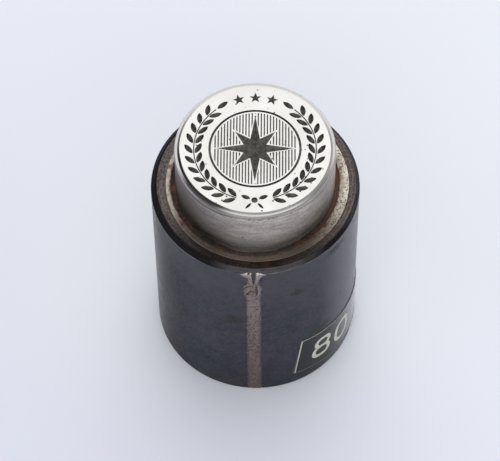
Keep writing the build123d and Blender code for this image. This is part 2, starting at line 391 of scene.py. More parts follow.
# %% [markdown]
# ## Rust streaks
# Rust has crept out of the groove at the neck's foot and over the shoulder in a few streaks. They cross
# from the insert to the sleeve, so both materials need the same streaks at the same places. One group
# holds them all: each is a short stretch of turn and of radius with its own strength, shaken by noise
# so that its edge is ragged.

# %% Group: rust streaks on the shoulder
# Each streak: its middle turn, its spread to each side, its inner and outer radius, its strength.
streaks = (
    (-102, 1.5, 20.2, 21.4, 1.0),
    (-86, 2.5, 19.0, 20.8, 1.0),
    (-56, 2.2, 20.0, 21.3, 0.9),
    (-25, 1.8, 21.6, 22.6, 0.8),
    (6.5, 2.2, 22.5, 23.8, 0.5),
    (17, 1.0, 20.4, 21.3, 0.8),
    (42, 1.5, 19.8, 20.7, 0.9),
    (49, 1.2, 21.8, 22.9, 0.9),
    (54, 2.0, 19.4, 20.9, 1.0),
    (72, 1.2, 22.8, 23.7, 0.9),
    (73, 2.0, 19.6, 20.5, 0.9),
    (96, 6.0, 19.5, 20.5, 1.0),
    (101, 1.8, 20.3, 21.2, 1.0),
)


def make_streak_group():
    wires, _, leaving = new_group("rust_streaks", {}, {"Mask": "Float"})
    turn, radius, height = wires.place("Turn", "Radius", "Height")
    shake = wires.mask("blotches", Size=0.6, Level=0.5, Softness=0.25, Shift=73.0)
    turn = wires.raised(wires.less(turn, 1.2), shake, 2.4)
    radius = wires.raised(wires.less(radius, 0.25), shake, 0.5)
    mask = 0.0
    for middle, spread, inner, outer, strength in streaks:
        across = wires.band(turn, middle - spread, middle + spread, 0.6 * spread)
        along = wires.band(radius, inner, outer, 0.22)
        mask = wires.most(wires.times(across, along, strength), mask)
    on_shoulder = wires.ramp(height, sleeve_height - 1.4, sleeve_height - 0.8)
    wires.feed(leaving["Mask"], wires.times(mask, on_shoulder))


make_streak_group()
print(len(streaks), "rust streaks")

# %% [markdown]
# ## Blackened sleeve
# The sleeve is a tube with a thin black oxide skin: slate grey on the wall, almost black on the
# polished bevel, and brown on the land inside it, where the skin has rusted through. The edge under the
# bevel is rubbed bright by handling, and a painted highlight lies along it. One material paints all four
# zones by height and radius, because on the real piece they are one skin, and then breaks each zone up
# with blotches and with a few stains in known places. It also paints light and shade: painted shade on
# the wall's left side and low down in front, a painted sheen on its right side, painted shade on the
# land in front, and a paler slate on the bevel in front and at the right that is partly painted
# reflection.

# %% Blackened steel
wall_blue = (0.0445, 0.0502, 0.0645)
wall_violet = (0.0582, 0.0557, 0.0708)
wall_grey = (0.093, 0.094, 0.105)
wall_pale_and_sheen = (0.168, 0.165, 0.188)
wall_left_shade = (0.013, 0.0095, 0.0180)
wall_dirt_and_shade = (0.0120, 0.0110, 0.0110)
wall_stain = (0.042, 0.040, 0.038)
bevel_black = (0.0056, 0.0056, 0.0065)
bevel_slate = (0.081, 0.079, 0.086)
land_brown = (0.104, 0.091, 0.084)
land_dark = (0.044, 0.036, 0.033)
land_rust = (0.076, 0.031, 0.021)
land_front_shade = (0.013, 0.0100, 0.0088)
rubbed_steel_and_highlight = (0.20, 0.195, 0.205)
corner_highlight = (0.34, 0.305, 0.28)
# Each stain: its middle turn, its reach to each side in degrees, its height, its reach up and down.
stains = (
    (-12.0, 5.5, 34.0, 2.6),
    (24.0, 4.4, 44.2, 1.3),
    (50.0, 9.0, 53.4, 1.3),
    (39.0, 8.0, 21.3, 1.2),
    (10.2, 0.9, 16.5, 0.45),
)
# Each stretch of turn: from, to and the blur of its ends. Each stretch of height or side: from and to.
wall_turns = {
    "shoulder": (-64.0, -38.0, 12.0),
    "front": (-38.0, 34.0, 14.0),
    "by the seam": (-6.3, 5.3, 0.9),
}
wall_sides = {"left": (-0.50, -0.96), "right": (0.58, 0.93)}
wall_heights = {
    "grey": (24.0, 54.0),
    "shoulder": (42.0, 53.0),
    "scratches": (40.0, 54.0),
    "low shade": (21.0, 8.0),
    "crumbs": (20.0, 42.0),
}
land_turns = {"front": (-50.0, 46.0, 26.0), "middle": (-8.0, 22.0, 12.0)}
bevel_turns = {"slate from": (-31.0, -7.0), "slate to": (14.0, 52.0)}
kept_edge_turns = (-32.0, -7.0, 6.0)
back_turns = (85.0, 150.0)


def ahead(wires, turn):
    """Mask of the front and the sides, for painted shade and sheen that fade away towards the back."""
    return wires.ramp(wires.math("ABSOLUTE", turn), *back_turns, 1.0, 0.0)


def all_stains(wires):
    """Mask of the stains on the wall."""
    stained = 0.0
    for middle, wide, level, tall in stains:
        mark = wires.mask("mark", Turn=middle, Wide=wide, Height=level, Tall=tall)
        stained = wires.most(mark, stained)
    return stained


def wall_skin(wires, side, turn, height):
    """Colour and roughness of the wall: clouds of blue and violet, grey scuffs and stains, with painted
    shade at the left side and low down in front, and a painted sheen at the right side.
    """
    cloud = wires.mask("blotches", Size=13.0, Level=0.5, Softness=0.12, Shift=4.0)
    patch = wires.mask("blotches", Size=4.0, Level=0.52, Softness=0.12, Shift=19.0)
    scuff = wires.mask("blotches", Size=0.9, Level=0.55, Softness=0.14, Shift=9.0)
    scratches = wires.mask("turning_lines", Across=height, Pitch=0.35, Drift=11.0)
    crumbs = wires.mask("specks", Spacing=0.55, Size=0.7, Share=0.4)
    shoulder, front, by_seam = wires.bands(turn, wall_turns)
    near = ahead(wires, turn)
    stained = wires.times(all_stains(wires), wires.ramp(scuff, 0.0, 1.0, 0.85, 0.55))

    colour = wires.coats(
        wires.blend(cloud, wall_blue, wall_violet),
        (wall_dirt_and_shade, patch, 0.2),
        (wall_grey, wires.ramp(height, *wall_heights["grey"], 0.0, 0.40)),
        # Painted shade on the left side and a painted sheen on the right side, both fading towards the back.
        (wall_left_shade, near, wires.ramp(side, *wall_sides["left"], 0.0, 0.88)),
        (wall_pale_and_sheen, near, wires.ramp(side, *wall_sides["right"], 0.0, 0.84)),
        (wall_grey, scuff, 0.34),
        (wall_pale_and_sheen, shoulder, wires.ramp(height, *wall_heights["shoulder"], 0.0, 0.16)),
        (wall_pale_and_sheen, scratches, wires.ramp(height, *wall_heights["scratches"], 0.0, 0.1)),
        # Painted shade: the wall is darker towards the bottom in front.
        (wall_dirt_and_shade, front, wires.ramp(height, *wall_heights["low shade"], 0.0, 0.2)),
        (wall_stain, stained),
        (wall_dirt_and_shade, crumbs, wires.ramp(height, *wall_heights["crumbs"], 0.05, 0.34), by_seam),
    )
    return colour, wires.between(stained, wires.between(patch, 0.19, 0.25), 0.32)


def land_skin(wires, radius, turn):
    """Colour of the flat land: brown and mottled, with spots and streaks of rust, and darker in front by
    painted shade.
    """
    mottle = wires.mask("blotches", Size=0.6, Level=0.5, Softness=0.18, Shift=7.0)
    spots = wires.mask("blotches", Size=2.2, Level=0.63, Softness=0.05, Shift=13.0)
    lines = wires.mask("turning_lines", Across=radius, Pitch=0.3, Drift=2.0)
    front, middle = wires.bands(turn, land_turns)
    mixed = wires.ramp(wires.plus(mottle, lines), 0.5, 1.5)
    colour = wires.coats(
        wires.blend(mixed, land_dark, land_brown),
        # Painted shade: the land is darker in front.
        (land_front_shade, wires.most(wires.times(front, 0.6), wires.times(middle, 0.85))),
        (land_rust, wires.most(spots, wires.mask("rust_streaks")), 0.75),
    )
    return colour, mottle


def bevel_skin(wires, height, side, turn):
    """Colour of the bevel: black, with brushed slate in front and at the right that is partly wear and
    partly painted reflection.
    """
    # Painted reflection, partly wear: the bevel is slate in front and at the right.
    lit = wires.ramp(turn, *bevel_turns["slate from"])
    lit = wires.times(lit, wires.ramp(turn, *bevel_turns["slate to"], 1.0, 0.0))
    lit = wires.most(lit, wires.ramp(side, 0.8, 1.0, 0.1, 0.5))
    scratches = wires.mask("turning_lines", Across=height, Pitch=0.26, Drift=9.0)
    lit = wires.times(lit, wires.ramp(scratches, 0.0, 1.0, 0.65, 1.4))
    return wires.blend(lit, bevel_black, bevel_slate)


def rim_zones(wires, height, radius, side, turn):
    """Masks of the bevel, of the land and of the edge under the bevel that is rubbed bright and carries a
    painted highlight.
    """
    bevel_edge = wires.ramp(side, -0.9, 0.5, land_edge - 0.45, land_edge + 0.05)
    outside = wires.band(radius, bevel_edge, sleeve_radius + 1, 0.03)
    above = wires.band(height, rim_foot + 0.05, sleeve_height + 1, 0.05)
    on_top = wires.band(height, sleeve_height - 0.06, sleeve_height + 1, 0.03)
    edge = wires.band(height, rim_foot - 0.12, rim_foot + 0.06, 0.04)
    rubbed = wires.mask("blotches", Size=2.5, Level=0.5, Softness=0.2, Shift=31.0)
    kept = wires.band(turn, *kept_edge_turns)
    rubbed = wires.times(wires.ramp(rubbed, 0.0, 1.0, 0.4, 0.9), wires.ramp(kept, 0.0, 1.0, 1.0, 0.25))
    bevel = wires.times(outside, wires.most(above, on_top))
    land = wires.times(on_top, wires.less(1.0, outside))
    return bevel, land, wires.times(edge, rubbed, outside)


def blackened_steel():
    material, wires, shader = new_finish("blackened_steel")
    height, radius, side, turn = wires.place("Height", "Radius", "Side", "Turn")
    bevel, land, worn = rim_zones(wires, height, radius, side, turn)
    corner = wires.mask("bore_edge")
    colour, rough = wall_skin(wires, side, turn, height)
    land_colour, mottle = land_skin(wires, radius, turn)
    colour = wires.coats(
        colour,
        (bevel_skin(wires, height, side, turn), bevel),
        (land_colour, land),
        (corner_highlight, corner),
        # The edge under the bevel: rubbed bare steel with a painted highlight.
        (rubbed_steel_and_highlight, worn),
    )
    wires.feed(shader["Base Color"], colour)
    rough = wires.between(bevel, rough, 0.3)
    wires.feed(shader["Roughness"], wires.between(wires.most(land, worn), rough, 0.3))
    metal = wires.between(wires.most(land, corner), 0.0, 0.95)
    wires.feed(shader["Metallic"], wires.between(worn, metal, 1.0))
    shader["Specular IOR Level"].default_value = 0.019
    lines = wires.mask("turning_lines", Across=height, Pitch=0.5, Drift=6.0)
    wires.feed(shader["Normal"], wires.bump(wires.raised(mottle, lines, 0.4), 0.006))
    return material


dress(blackened_steel(), "outer_sleeve")

# %% [markdown]
# ## Turned insert
# The insert is bright steel from the lathe and the grinder. Its neck shows fine lines that run round
# it, its lip is polished by use, and its flange shows as a pale ring with dark pits. Rust sits in the
# groove at the neck's foot, where water stays, and creeps up the neck and over the ring in patches.
# Light and shade are painted in too: a painted highlight on the neck's front, painted shade on its
# left side and towards the right, on the ring at the left, near the neck and in front, and on
# stretches of the lip's flat top, and a painted highlight on the corners of the bore's edge.

# %% Turned steel
neck_bright = (0.84, 0.770, 0.692)
neck_dull = (0.42, 0.383, 0.344)
neck_highlight = (1.0, 0.930, 0.850)
neck_dark = (0.050, 0.041, 0.035)
neck_left_shade = (0.200, 0.177, 0.162)
neck_right_shade = (0.28, 0.257, 0.233)
ring_cream = (0.50, 0.449, 0.392)
ring_left = (0.250, 0.216, 0.190)
ring_stain_and_shade = (0.108, 0.092, 0.078)
ring_pit = (0.070, 0.060, 0.046)
root_brown = (0.080, 0.058, 0.044)
root_dark = (0.034, 0.028, 0.024)
root_right = (0.170, 0.095, 0.068)
rust_red = (0.180, 0.066, 0.036)
lip_bright = (0.42, 0.408, 0.398)
lip_shade_and_line = (0.045, 0.043, 0.042)
rust_dot = {"Turn": -8.4, "Wide": 0.9, "Height": 62.5, "Tall": 0.35}
neck_turns = {
    "front": (-14.0, 25.0, 13.0),
    "right": (44.0, 72.0, 16.0),
    "left foot": (-56.0, -27.0, 12.0),
    "right foot": (28.0, 62.0, 12.0),
    "collar": (-40.0, 26.0, 14.0),
}
# Heights of the painted highlight on the neck's front, of the lighter band under the lip, and of the darker
# foot.
neck_heights = {
    "worn": (68.0, 62.0),
    "highlight foot": (56.5, 61.0),
    "under lip": (68.2, 69.6),
    "darker low": (62.5, 57.5),
}
ring_turns = {"front": (-18.0, 50.0, 24.0), "shaded": (46.0, 70.0, 9.0)}
ring_inner_radii = (21.7, 20.5)
root_turns = {"facing": (-22.0, 26.0, 12.0), "front": (-40.0, 36.0, 12.0)}
lip_turns = {
    "flat left": (-66.0, -23.0, 11.0),
    "flat right": (38.0, 74.0, 14.0),
    "bevel left": (-46.0, -22.0, 9.0),
}
nicked_turns = (-18.0, 30.0, 8.0)


def neck_skin(wires, side, turn, height, lines):
    """Colour of the ground neck: grained steel with a painted highlight in front, painted shade at the left
    and towards the right, and darker low down at the sides.
    """
    broad = wires.mask("turning_lines", Across=height, Pitch=0.75, Drift=4.5)
    cloud = wires.mask("blotches", Size=7.0, Level=0.5, Softness=0.2, Shift=2.0)
    grain = wires.mask("blotches", Size=0.55, Level=0.5, Softness=0.2, Shift=79.0)
    front, right, left_foot, right_foot, dim = wires.bands(turn, neck_turns)
    tone = wires.raised(wires.times(lines, 0.8), wires.plus(broad, grain), 1.3)
    tone = wires.raised(tone, cloud, 0.6)
    highlight_top = wires.ramp(height, *neck_heights["worn"], 0.0, 0.75)
    highlight_foot = wires.ramp(height, *neck_heights["highlight foot"], 0.42, 1.0)
    below_lip = wires.ramp(height, *neck_heights["under lip"], 1.0, 0.9)
    rubbed = wires.band(height, lip_height - 0.85, lip_height, 0.12)
    feet = wires.raised(left_foot, right_foot, 0.4)
    collar = wires.band(height, scored_height + 0.14, lip_height - 0.42, 0.08)
    glint = wires.band(height, scored_height - 0.36, scored_height - 0.2, 0.04)
    brushed = wires.raised(wires.times(grain, 0.4), broad, 0.6)
    return wires.coats(
        wires.blend(wires.times(tone, 0.25), neck_dull, neck_bright),
        # Painted highlight: the neck is brighter in front, most at mid height, and a little under the lip.
        (neck_highlight, front, highlight_top, highlight_foot),
        (neck_highlight, wires.ramp(height, *neck_heights["under lip"], 0.0, 0.15)),
        # Painted shade on the neck's left side.
        (neck_left_shade, wires.ramp(side, -0.11, -0.92), below_lip, ahead(wires, turn)),
        (lip_bright, rubbed, wires.ramp(side, -0.4, -0.75)),
        # Painted shade towards the right.
        (neck_right_shade, right, 0.52),
        # Darker low down at the sides of the neck.
        (neck_dark, feet, wires.ramp(height, *neck_heights["darker low"], 0.0, 0.75)),
        (neck_dark, collar, dim, 0.4),
        (neck_highlight, glint, front, 0.5),
        (neck_dark, wires.ramp(brushed, 0.15, 0.85, 0.22, 0.0)),
        (rust_red, wires.mask("mark", **rust_dot)),
    )


def ring_skin(wires, radius, side, turn):
    """Colour of the flange's ring and its pits: cream, with stains and with painted shade at the left, near
    the neck and in front.
    """
    pits = wires.mask("specks", Spacing=0.42, Size=0.6, Share=0.72)
    pits = wires.times(pits, wires.ramp(side, 0.3, 0.95, 0.25, 0.9))
    stain = wires.mask("blotches", Size=2.0, Level=0.54, Softness=0.12, Shift=17.0)
    grain = wires.mask("blotches", Size=0.45, Level=0.56, Softness=0.12, Shift=83.0)
    front, shaded = wires.bands(turn, ring_turns)
    # Painted shade: the ring is duller at the left, on a band at the right and near the neck.
    ring_shade = wires.times(wires.ramp(side, 0.5, -0.5), wires.ramp(side, -0.8, -1.0, 1.0, 0.55))
    ring_shade = wires.most(ring_shade, wires.times(shaded, 0.8), wires.ramp(radius, *ring_inner_radii, 0.0, 0.85))
    colour = wires.coats(
        wires.blend(ring_shade, ring_cream, ring_left),
        # Stains, and painted shade in front.
        (ring_stain_and_shade, wires.most(wires.times(stain, 0.5), wires.times(front, 0.92))),
        (root_brown, grain, wires.ramp(side, 0.5, -0.3, 0.1, 0.45)),
        (ring_pit, pits),
    )
    return colour, pits


def root_skin(wires, radius, height, side, turn):
    """Colour of the rusty groove, and where it lies: out to the ring and a little way up the neck."""
    ragged = wires.mask("blotches", Size=1.5, Level=0.5, Softness=0.25, Shift=23.0)
    patch = wires.mask("blotches", Size=4.0, Level=0.52, Softness=0.07, Shift=29.0)
    mottle = wires.mask("blotches", Size=0.7, Level=0.5, Softness=0.14, Shift=33.0)
    facing, front = wires.bands(turn, root_turns)
    reach = wires.ramp(side, 0.5, 0.95, groove_radius + 0.05, groove_radius - 0.2)
    reach = wires.raised(wires.raised(reach, front, 0.36), ragged, 0.35)
    inward = wires.ramp(wires.less(reach, radius), -0.14, 0.18)
    climb = wires.raised(wires.raised(flange_top - 0.2, facing, -1.0), ragged, 0.9)
    under = wires.ramp(wires.less(climb, height), -0.8, 0.8)
    under = wires.most(under, wires.ramp(radius, neck_radius + 0.02, neck_radius + 0.14, 0.0, 0.9))
    red = wires.times(patch, mottle, wires.ramp(facing, 0.0, 1.0, 0.6, 0.2))
    red = wires.most(red, wires.mask("rust_streaks"))
    colour = wires.coats(
        wires.blend(mottle, root_dark, root_brown),
        (root_right, wires.ramp(side, 0.7, 1.0, 0.0, 0.6)),
        (rust_red, red),
    )
    return colour, wires.times(inward, under)


def lip_skin(wires, radius, turn):
    """Colour of the polished lip, with painted shade on two stretches of its flat top and less on its bevel.
    """
    flat_left, flat_right, bevel_left = wires.bands(turn, lip_turns)
    flat_shade = wires.most(flat_left, wires.times(flat_right, 0.74))
    bevel_shade = wires.most(wires.times(bevel_left, 0.45), wires.times(flat_right, 0.2))
    flat = wires.band(radius, -1.0, neck_radius - lip_bevel_width, 0.04)
    return wires.blend(wires.between(flat, bevel_shade, flat_shade), lip_bright, lip_shade_and_line)


def scored_line(wires, height, side, turn):
    """Mask of the line scored round the neck below the lip. In front it is worn down to nicks."""
    line = wires.band(height, scored_height - 0.17, scored_height + 0.17, 0.05)
    nicks = wires.mask("blotches", Size=0.8, Level=0.56, Softness=0.06, Shift=37.0)
    nicked = wires.band(turn, *nicked_turns)
    depth = wires.between(nicked, wires.ramp(side, -0.64, 0.64, 1.0, 0.7), wires.times(nicks, 0.9))
    return wires.times(line, depth)


def turned_steel():
    material, wires, shader = new_finish("turned_steel")
    height, radius, side, turn = wires.place("Height", "Radius", "Side", "Turn")
    lines = wires.mask("turning_lines", Across=height, Pitch=0.2, Drift=1.6)
    low = wires.band(height, -10.0, flange_top + 0.06, 0.04)
    ring = wires.times(low, wires.band(radius, neck_radius + 0.05, flange_radius + 2, 0.04))
    lip = wires.band(height, lip_height - lip_bevel_drop + 0.06, lip_height + 1, 0.04)
    ring_colour, pits = ring_skin(wires, radius, side, turn)
    root_colour, root = root_skin(wires, radius, height, side, turn)
    scored = scored_line(wires, height, side, turn)

    colour = wires.coats(
        neck_skin(wires, side, turn, height, lines),
        (ring_colour, ring),
        (land_rust, wires.mask("rust_streaks"), ring, 0.7),
        (corner_highlight, wires.mask("bore_edge")),
        (root_colour, root),
        (lip_skin(wires, radius, turn), lip),
        (lip_shade_and_line, scored),
    )
    wires.feed(shader["Base Color"], colour)
    rough = wires.between(lip, wires.between(lines, 0.42, 0.56), 0.26)
    rough = wires.between(ring, rough, 0.32)
    wires.feed(shader["Roughness"], wires.between(root, rough, 0.75))
    metal = wires.between(wires.most(ring, lip), 0.9, 1.0)
    wires.feed(shader["Metallic"], wires.between(root, metal, 0.35))
    relief = wires.between(ring, lines, wires.less(1.0, pits))
    wires.feed(shader["Normal"], wires.bump(relief, 0.008))
    brushed = wires.node("ShaderNodeTangent", direction_type="RADIAL", axis="Z").outputs[0]
    wires.feed(shader["Tangent"], brushed)
    shader["Anisotropic"].default_value = 0.6
    return material


dress(turned_steel(), "die_insert")

# %% [markdown]
# ## Polished plate
# The plate's face is polished almost to white, with a few pits from corrosion. Everything that the
# engraver cut away has kept a dark skin of old ink and oxide, so the finish asks how far a point lies
# below the face: deeper than a few hundredths of a millimetre is dark. The plate's own bevel lies lower
# too, so it is left out by its radius. The bevel itself carries painted light: painted shade at the
# left, which reaches a little onto the face, and a painted reflection at the back.

# %% Polished steel
face_white = (0.60, 0.595, 0.585)
face_warm = (0.545, 0.535, 0.515)
face_pit = (0.13, 0.12, 0.105)
rim_grey = (0.42, 0.415, 0.41)
rim_back_sheen = (0.60, 0.595, 0.585)
rim_left_shade = (0.060, 0.060, 0.062)
engraved_dark = (0.050, 0.046, 0.042)
engraved_light = (0.14, 0.130, 0.118)
cut_depths = (0.02, 0.10)
rim_left_turns = (-87.0, -21.0, 8.0)
rim_back_turns = (80.0, 125.0)


def polished_steel():
    material, wires, shader = new_finish("polished_steel")
    height, radius, turn = wires.place("Height", "Radius", "Turn")
    haze = wires.mask("blotches", Size=12.0, Level=0.52, Softness=0.16, Shift=41.0)
    pits = wires.mask("specks", Spacing=1.3, Size=0.21, Share=0.5)
    few = wires.mask("blotches", Size=6.0, Level=0.46, Softness=0.12, Shift=43.0)
    skin = wires.mask("blotches", Size=0.9, Level=0.5, Softness=0.2, Shift=47.0)
    pits = wires.times(pits, few)
    bevel_from = plate_radius - plate_bevel_width
    deep = wires.ramp(wires.less(plate_top, height), *cut_depths)
    cut = wires.times(deep, wires.band(radius, -1.0, bevel_from - 0.1, 0.03))
    # Painted shade on the rim at the left, and a painted reflection on it at the back.
    rim_shade = wires.band(turn, *rim_left_turns)
    behind = wires.ramp(wires.math("ABSOLUTE", turn), *rim_back_turns)
    rim = wires.band(radius, wires.raised(bevel_from, rim_shade, -0.15), plate_radius + 1, 0.05)
    rim_colour = wires.blend(rim_shade, wires.blend(behind, rim_grey, rim_back_sheen), rim_left_shade)
    colour = wires.coats(
        wires.blend(haze, face_white, face_warm),
        (face_pit, pits),
        (rim_colour, rim),
        (wires.blend(skin, engraved_dark, engraved_light), cut),
    )
    wires.feed(shader["Base Color"], colour)
    rough = wires.between(pits, wires.between(haze, 0.20, 0.28), 0.6)
    wires.feed(shader["Roughness"], wires.between(cut, rough, 0.55))
    wires.feed(shader["Metallic"], wires.between(cut, 1.0, 0.5))
    wires.feed(shader["Normal"], wires.bump(wires.less(1.0, pits), 0.02))
    return material


dress(polished_steel(), "seal_plate")

# %% [markdown]
# ## Pieces inside
# The block, the disc and the dowel show only when the die is lifted out or turned over, and the screw
# and its washer only from below. They still get a real finish: turned or ground steel with rings that
# follow the radius on flat faces and the height on round ones, and a black skin on the screw.

# %% Plain, hardened and screw steel
# Each steel: its bright and its dull colour, its lowest and its highest roughness, and how metallic it is.
inner_steels = {
    "plain_steel": ((0.42, 0.41, 0.40), (0.28, 0.27, 0.255), 0.36, 0.5, 1.0),
    "hardened_steel": ((0.56, 0.56, 0.55), (0.40, 0.395, 0.38), 0.26, 0.4, 1.0),
    "screw_steel": ((0.055, 0.055, 0.06), (0.028, 0.028, 0.03), 0.34, 0.5, 0.4),
}
inner_pieces = {
    "plain_steel": ("base_block",),
    "hardened_steel": ("backing_disc", "locating_dowel"),
    "screw_steel": ("clamp_screw", "lock_washer"),
}


def inner_steel(name, bright, ring_shade, rough_low, rough_high, metal):
    material, wires, shader = new_finish(name)
    across = wires.plus(*wires.place("Height", "Radius"))
    lines = wires.mask("turning_lines", Across=across, Pitch=0.3, Drift=1.2)
    oil = wires.mask("blotches", Size=6.0, Level=0.52, Softness=0.16, Shift=53.0)
    tone = wires.times(wires.plus(lines, oil), 0.5)
    wires.feed(shader["Base Color"], wires.blend(tone, bright, ring_shade))
    wires.feed(shader["Roughness"], wires.between(oil, rough_low, rough_high))
    wires.feed(shader["Normal"], wires.bump(lines, 0.005))
    shader["Metallic"].default_value = metal
    return material


for name, look in inner_steels.items():
    dress(inner_steel(name, *look), *inner_pieces[name])

# %% [markdown]
# ## Weld seam
# A full-height seam closes the tube. It was ground flush, so most of it is a grainy brown strip, but at
# the rim the weld ran out: there is an open crack, torn ridges beside it, and two bright wings where a
# file touched the corner. A bump map can't give torn metal, so the strip is a mesh of its own. Each
# cross-section is a closed loop: many points along the weathered face, then back through the wall along
# the vee of the weld. The heights come from a few named features, and four attributes note where the
# metal is bare, where it is dark, where the strip fades into the wall and where it has rusted.

# %% Weld seam: how wide it is at each height
seam_half_width = 1.78
seam_margin = 0.25
seam_drift = -0.27
seam_root_radius = 22.12
seam_root_half_width = 0.7
seam_face_half_width = 1.72
wing_height = rim_foot - 0.2
wing_below = {-1: 1.6, 1: 0.8}
wing_above = 0.55
wing_reach = {-1: 1.7, 1: 1.2}
swell_height = 48.6
swell_spread = 4.0
swell_reach = {-1: 1.0, 1: 0.15}
waist_height = 52.8
waist_spread = 2.7
waist_depth = {-1: 0.1, 1: 0.75}
top_half_width = {-1: 1.78, 1: 0.8}
strip_top = rim_foot + 0.38
edge_waver = 0.2
edge_nibble = 0.16
drift_top = 50.0
drift_length = 5.0


def clamped(share):
    """A share, kept between 0 and 1."""
    return max(0.0, min(1.0, share))


def peak(z, middle, spread):
    """Share that falls off evenly from 1 at one height to 0 at a distance from it."""
    return max(0.0, 1.0 - abs(z - middle) / spread)


def seam_edge(side, z):
    """Half width of the strip on one side, ragged all along and drawn out into a wing near the rim."""
    if z > wing_height:
        wing = peak(z, wing_height, wing_above)
        return top_half_width[side] + wing * (seam_half_width + wing_reach[side] - top_half_width[side])
    waver = edge_waver * noise.noise(Vector((side * 7.0, 0.0, z * 0.9)))
    nibble = edge_nibble * noise.noise(Vector((side * 3.0, 5.0, z * 2.7)))
    wing = wing_reach[side] * peak(z, wing_height, wing_below[side])
    swell = swell_reach[side] * peak(z, swell_height, swell_spread)
    waist = waist_depth[side] * peak(z, waist_height, waist_spread)
    return seam_half_width + waver + nibble + (wing + swell - waist)


def seam_middle(z):
    """How far the strip's middle lies from the seam's line. It drifts off below the torn stretch."""
    return seam_drift * clamped((drift_top - z) / drift_length)


def surface_radius(z):
    """Radius of the sleeve's outside at a height, over the foot chamfer, the wall and the rim bevel."""
    if z > rim_foot:
        return sleeve_radius - (z - rim_foot) * rim_bevel_width / rim_bevel_drop
    return sleeve_radius - max(0.0, foot_chamfer - z)


def open_half_width(z):
    """Half width of the open seam in the sleeve's own surface at a height."""
    share = (surface_radius(z) - seam_root_radius) / (sleeve_radius - seam_root_radius)
    return seam_root_half_width + share * (seam_face_half_width - seam_root_half_width)


print("wing tips at", [round(seam_edge(side, wing_height), 2) for side in (-1, 1)], "mm from the middle")

# %% Weld seam: tears, ridges and the crack
crack_half_width = 0.6
crack_foot = sleeve_height - 5.6
crack_head = sleeve_height - 0.68
crack_middle = -0.22
crack_lean = -0.08
crack_depth = 0.3
tears = (
    ((-2.2, 49.6), (-1.85, 50.2), (-1.2, 50.3), (-0.4, 50.2)),
    ((-2.0, 46.4), (-1.45, 47.3), (-0.95, 48.0), (-0.1, 48.0)),
    ((0.45, 50.2), (0.5, 48.2), (0.42, 46.2)),
)
ridges = (
    ((-2.6, 49.9), (-2.3, 50.5), (-1.7, 51.0)),
    ((-2.4, 46.5), (-2.1, 47.6), (-1.6, 48.9), (-1.3, 49.3)),
    ((0.95, 46.2), (1.0, 48.0), (0.9, 49.8)),
    ((-1.45, 53.7), (-1.05, 52.5), (-0.7, 51.4)),
    ((1.0, 54.6), (0.7, 53.4), (0.25, 52.2)),
)
slivers = (
    ((-0.95, sleeve_height - 0.75), (-0.9, 54.6), (-0.75, 53.0)),
    ((0.5, sleeve_height - 0.75), (0.62, 54.9), (0.6, 53.6)),
)
rust_spot = Vector((-1.42, sleeve_height - 0.95))
rust_spot_radius = 0.34
tear_width = 0.2
tear_depth = 0.28
ridge_width = 0.25
ridge_rise = 0.12
sliver_width = 0.13
sliver_rise = 0.05
path_waver = 0.22
face_rise = 0.03
edge_drop = 0.12
torn_from = (45.2, 46.8)
crumb_levels = (0.16, 0.42)
crumbs_to = (53.6, 54.8)
slivers_from = (52.5, 54.0)
intact_from = (rim_foot + 0.30, rim_foot + 0.42)
soft_edge_from = (18.0, 40.0)


def distance_to(path, u, z):
    """Distance from a point on the strip to a path of straight runs."""
    spot = Vector((u, z))
    nearest = 1e9
    for start, end in zip(path, path[1:]):
        a, b = Vector(start), Vector(end)
        share = clamped((spot - a).dot(b - a) / (b - a).length_squared)
        nearest = min(nearest, (spot - a.lerp(b, share)).length)
    return nearest


def fade(value, start, end):
    """Smooth step from 0 at start to 1 at end."""
    share = clamped((value - start) / (end - start))
    return share * share * (3 - 2 * share)


def nearness(paths, u, z, width):
    """How close a point lies to the nearest of some paths, from 0 far away to 1 on it."""
    return max(math.exp(-((distance_to(path, u, z) / width) ** 2)) for path in paths)


def crack_share(u, z):
    """Share of the crack's depth at a point. The crack narrows to a point at its foot and leans a little."""
    climb = (z - crack_foot) / (crack_head - crack_foot)
    if not 0.0 < climb < 1.0:
        return 0.0
    middle = crack_middle + crack_lean * (1 - climb)
    width = crack_half_width * min(1.0, 0.15 + 1.1 * climb)
    walls = 1 - fade(abs(u - middle), 0.75 * width, width)
    return walls * fade(climb, 0.0, 0.1) * (1 - fade(climb, 0.96, 1.0))


def grain_at(u, z, layer, rate):
    """Smooth noise on the strip. Each layer is another pattern, and the rate says how fine it is."""
    return noise.noise(Vector((u * rate, layer, z * rate)))


